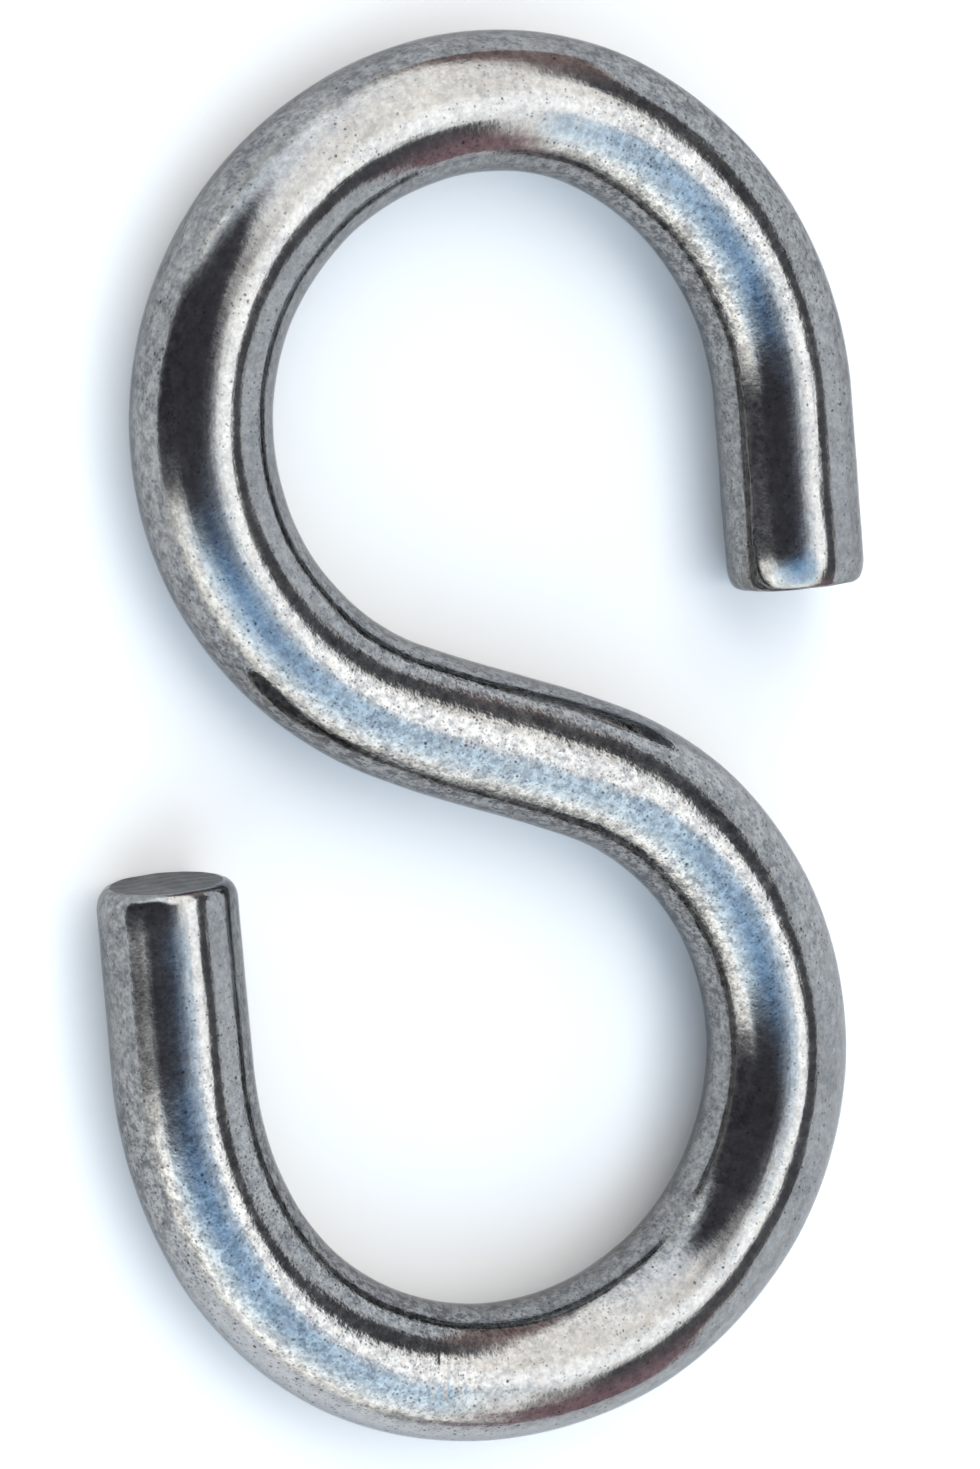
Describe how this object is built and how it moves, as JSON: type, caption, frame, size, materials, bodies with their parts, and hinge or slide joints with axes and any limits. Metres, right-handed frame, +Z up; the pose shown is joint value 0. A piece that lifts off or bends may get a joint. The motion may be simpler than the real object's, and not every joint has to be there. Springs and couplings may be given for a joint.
{
  "type": "s hook",
  "caption": "Round steel wire bent into an S hook: an open loop at each end of a short slanting waist, with square-cut tips. It lies flat.",
  "frame": {"origin": "on the surface the hook lies on, under the middle of its outline", "axes": "+Y along the hook from the lower loop to the upper one, +X towards the upper loop's tip, +Z up from the surface through the wire's thickness"},
  "size_m": [0.0288, 0.0506, 0.005],
  "materials": {
    "steel_wire": "bright zinc-plated steel, smooth and nearly mirror-like, with fine dark pits"
  },
  "bodies": {
    "root": {"s_hook": "steel_wire"}
  },
  "joints": []
}
